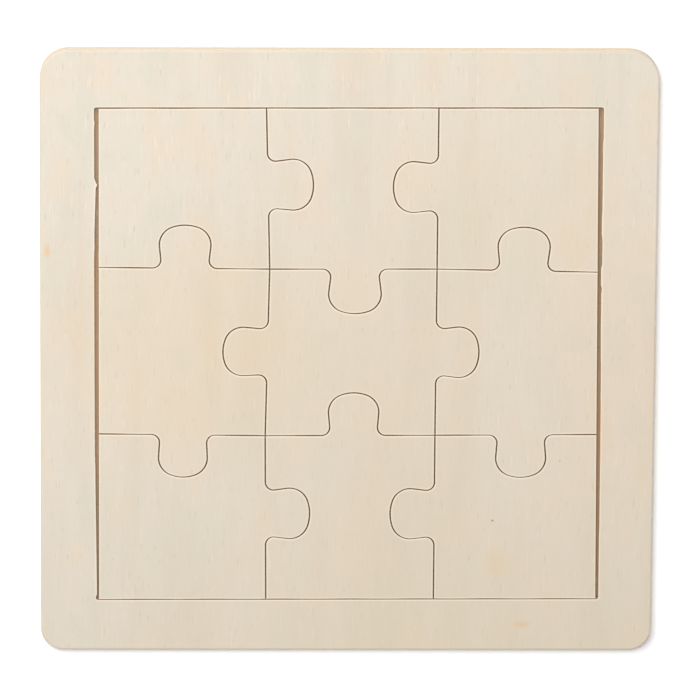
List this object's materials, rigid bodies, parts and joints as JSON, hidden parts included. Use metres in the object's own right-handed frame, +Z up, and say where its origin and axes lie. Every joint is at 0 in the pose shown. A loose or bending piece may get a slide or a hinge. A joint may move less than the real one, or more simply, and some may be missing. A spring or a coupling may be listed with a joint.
{
  "type": "frame tray jigsaw puzzle",
  "caption": "Square wooden frame tray with rounded corners, holding loose interlocking jigsaw pieces flush in its window on a plywood backing; blank face, pieces lift out upwards",
  "frame": {"origin": "middle of the tray's underside", "axes": "+Z up out of the puzzle's face, +X to its right, +Y to its top edge; the tray lies flat"},
  "size_m": [0.15, 0.15, 0.005],
  "materials": {
    "face_veneer": "pale basswood veneer, sanded and unfinished, grain along Y",
    "cross_grain_core": "plywood core veneer, grain along X, seen only at the cut edges",
    "back_veneer": "basswood veneer, unfinished, grain along Y",
    "backing_veneer": "plain plywood veneer, unfinished, grain along Y"
  },
  "bodies": {
    "tray": {"frame_face_veneer": "face_veneer", "frame_core_veneer": "cross_grain_core", "frame_back_veneer": "back_veneer", "backing_face_veneer": "backing_veneer", "backing_core_veneer": "cross_grain_core", "backing_back_veneer": "backing_veneer"},
    "piece_top_left": {"piece_top_left_face_veneer": "face_veneer", "piece_top_left_core_veneer": "cross_grain_core", "piece_top_left_back_veneer": "back_veneer"},
    "piece_top_middle": {"piece_top_middle_face_veneer": "face_veneer", "piece_top_middle_core_veneer": "cross_grain_core", "piece_top_middle_back_veneer": "back_veneer"},
    "piece_top_right": {"piece_top_right_face_veneer": "face_veneer", "piece_top_right_core_veneer": "cross_grain_core", "piece_top_right_back_veneer": "back_veneer"},
    "piece_middle_left": {"piece_middle_left_face_veneer": "face_veneer", "piece_middle_left_core_veneer": "cross_grain_core", "piece_middle_left_back_veneer": "back_veneer"},
    "piece_centre": {"piece_centre_face_veneer": "face_veneer", "piece_centre_core_veneer": "cross_grain_core", "piece_centre_back_veneer": "back_veneer"},
    "piece_middle_right": {"piece_middle_right_face_veneer": "face_veneer", "piece_middle_right_core_veneer": "cross_grain_core", "piece_middle_right_back_veneer": "back_veneer"},
    "piece_bottom_left": {"piece_bottom_left_face_veneer": "face_veneer", "piece_bottom_left_core_veneer": "cross_grain_core", "piece_bottom_left_back_veneer": "back_veneer"},
    "piece_bottom_middle": {"piece_bottom_middle_face_veneer": "face_veneer", "piece_bottom_middle_core_veneer": "cross_grain_core", "piece_bottom_middle_back_veneer": "back_veneer"},
    "piece_bottom_right": {"piece_bottom_right_face_veneer": "face_veneer", "piece_bottom_right_core_veneer": "cross_grain_core", "piece_bottom_right_back_veneer": "back_veneer"}
  },
  "joints": [
    {"name": "lift_top_left", "type": "slide", "parent": "tray", "child": "piece_top_left", "axis": [0, 0, 1], "range_m": [0, 0.02]},
    {"name": "lift_top_middle", "type": "slide", "parent": "tray", "child": "piece_top_middle", "axis": [0, 0, 1], "range_m": [0, 0.02]},
    {"name": "lift_top_right", "type": "slide", "parent": "tray", "child": "piece_top_right", "axis": [0, 0, 1], "range_m": [0, 0.02]},
    {"name": "lift_middle_left", "type": "slide", "parent": "tray", "child": "piece_middle_left", "axis": [0, 0, 1], "range_m": [0, 0.02]},
    {"name": "lift_centre", "type": "slide", "parent": "tray", "child": "piece_centre", "axis": [0, 0, 1], "range_m": [0, 0.02]},
    {"name": "lift_middle_right", "type": "slide", "parent": "tray", "child": "piece_middle_right", "axis": [0, 0, 1], "range_m": [0, 0.02]},
    {"name": "lift_bottom_left", "type": "slide", "parent": "tray", "child": "piece_bottom_left", "axis": [0, 0, 1], "range_m": [0, 0.02]},
    {"name": "lift_bottom_middle", "type": "slide", "parent": "tray", "child": "piece_bottom_middle", "axis": [0, 0, 1], "range_m": [0, 0.02]},
    {"name": "lift_bottom_right", "type": "slide", "parent": "tray", "child": "piece_bottom_right", "axis": [0, 0, 1], "range_m": [0, 0.02]}
  ]
}
